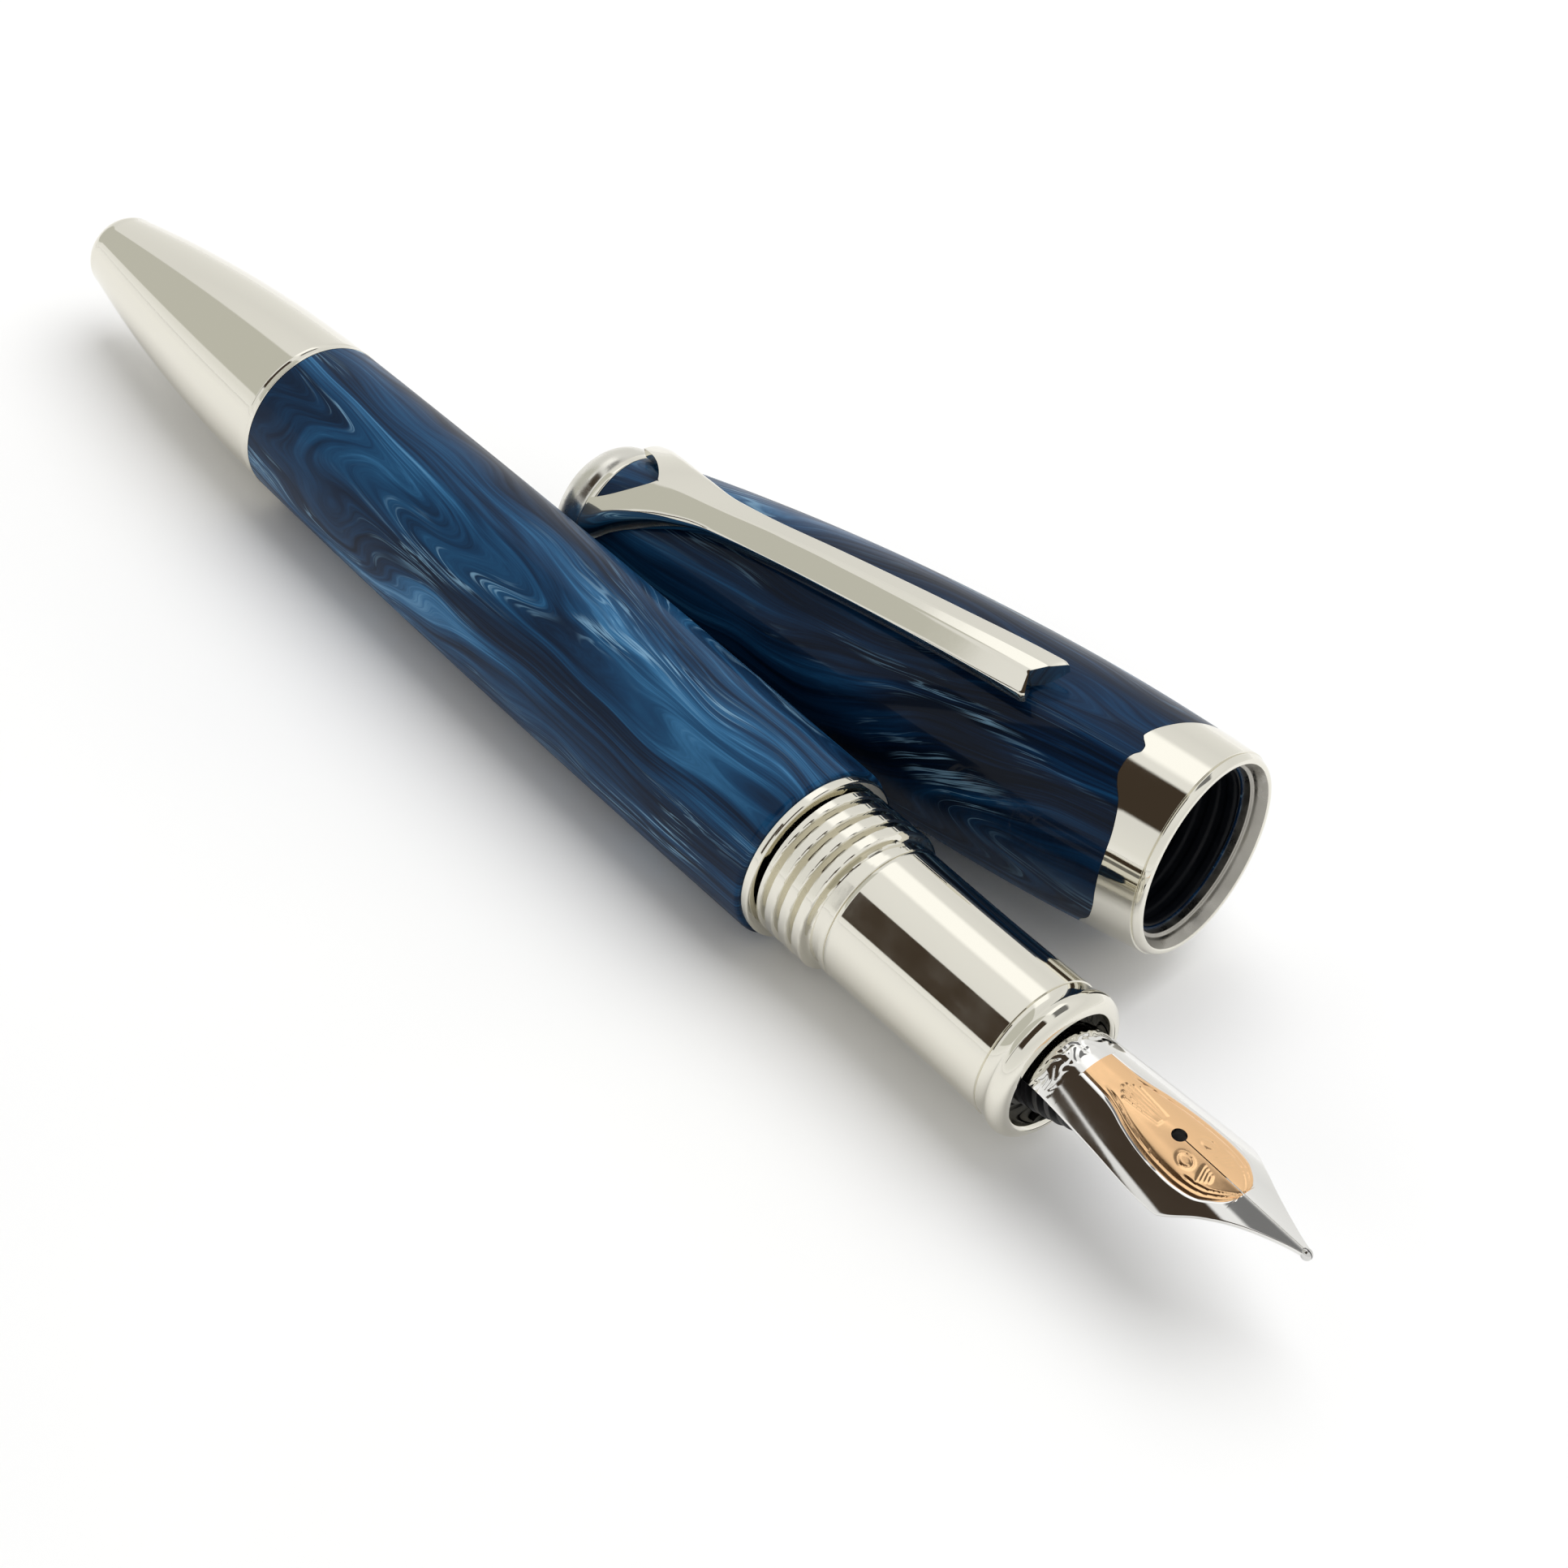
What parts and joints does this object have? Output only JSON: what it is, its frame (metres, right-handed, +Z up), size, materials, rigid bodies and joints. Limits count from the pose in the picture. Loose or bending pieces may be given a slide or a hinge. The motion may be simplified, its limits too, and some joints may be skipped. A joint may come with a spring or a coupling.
{
  "type": "fountain pen",
  "caption": "Fountain pen lying uncapped beside its cap: marbled resin barrel, polished metal grip and tail, inlaid nib, piston converter inside and a spring clip on the cap.",
  "frame": {"origin": "on the pen's axis at the barrel's front end, where the rim of a fitted cap stops against the section's ring", "axes": "+X along the pen's axis towards the nib, +Y towards the cap that lies beside the pen, +Z up from the table"},
  "size_m": [0.1274, 0.0334, 0.0192],
  "materials": {
    "resin": "polished marbled navy and mid-blue resin with pearly light-blue streaks",
    "trim": "mirror-polished plated metal",
    "grip": "mirror-polished plated metal",
    "nib_metal": "polished, with a gold-toned engraved inlay",
    "tip_metal": "hard polished tipping",
    "feed_plastic": "moulded black, slightly satin",
    "core_plastic": "moulded black",
    "clear_plastic": "clear tube",
    "white_plastic": "moulded natural plastic",
    "knob_plastic": "black with grip flutes",
    "brass": "turned brass",
    "steel": "polished steel",
    "rubber": "soft black rubber",
    "liner_plastic": "dark blue-black plastic"
  },
  "bodies": {
    "section": {"section_ring": "trim", "thread_collar": "trim", "grip_sleeve": "grip", "lip_ring": "trim", "section_core": "core_plastic"},
    "nib_unit": {"nib_housing": "core_plastic", "nib": "nib_metal", "nib_tipping": "tip_metal", "feed": "feed_plastic"},
    "converter": {"converter_mouth": "core_plastic", "converter_tube": "clear_plastic", "converter_collar": "trim", "converter_nut": "brass", "agitator_ball": "steel"},
    "knob": {"converter_knob": "knob_plastic", "spindle": "brass"},
    "piston": {"piston_seal": "rubber", "piston_rod": "white_plastic"},
    "seal": {"barrel_o_ring": "rubber"},
    "barrel": {"barrel_sleeve": "resin", "barrel_liner": "brass", "tail_ring": "trim", "tail_cone": "trim", "tail_insert": "core_plastic"},
    "cap": {"cap_sleeve": "resin", "cap_band": "trim", "cap_thread_ring": "liner_plastic", "inner_cap": "liner_plastic", "finial": "trim", "finial_stud": "steel", "finial_nut": "brass", "clip_ring": "trim"},
    "clip": {"clip": "trim"}
  },
  "joints": [
    {"name": "nib_unit_pull", "type": "slide", "parent": "section", "child": "nib_unit", "axis": [1, 0, 0], "range_m": [0, 0.016]},
    {"name": "converter_pull", "type": "slide", "parent": "section", "child": "converter", "axis": [-1, 0, 0], "range_m": [0, 0.0095]},
    {"name": "knob_turn", "type": "hinge", "parent": "converter", "child": "knob", "pos_m": [-0.05, 0, 0], "axis": [1, 0, 0], "range_deg": [0, 2041]},
    {"name": "piston_slide", "type": "slide", "parent": "converter", "child": "piston", "axis": [-1, 0, 0], "range_m": [0, 0.017]},
    {"name": "barrel_pull", "type": "slide", "parent": "section", "child": "seal", "axis": [-1, 0, 0], "range_m": [0, 0.07]},
    {"name": "barrel_turn", "type": "hinge", "parent": "seal", "child": "barrel", "pos_m": [-0.03, 0, 0], "axis": [1, 0, 0], "range_deg": [0, 1440]},
    {"name": "cap_slide", "type": "slide", "parent": "section", "child": "cap", "axis": [0.9925, 0.1219, 0], "range_m": [0, 0.05]},
    {"name": "clip_flex", "type": "hinge", "parent": "cap", "child": "clip", "pos_m": [-0.03517, 0.01173, 0.00313], "axis": [0.1414, -0.9263, -0.3491], "range_deg": [0, 4], "stiffness_Nm_per_rad": 3}
  ],
  "couplings": [
    {"joint": "knob_turn", "follows": "piston_slide", "rad_per_m": 2094.4}
  ]
}
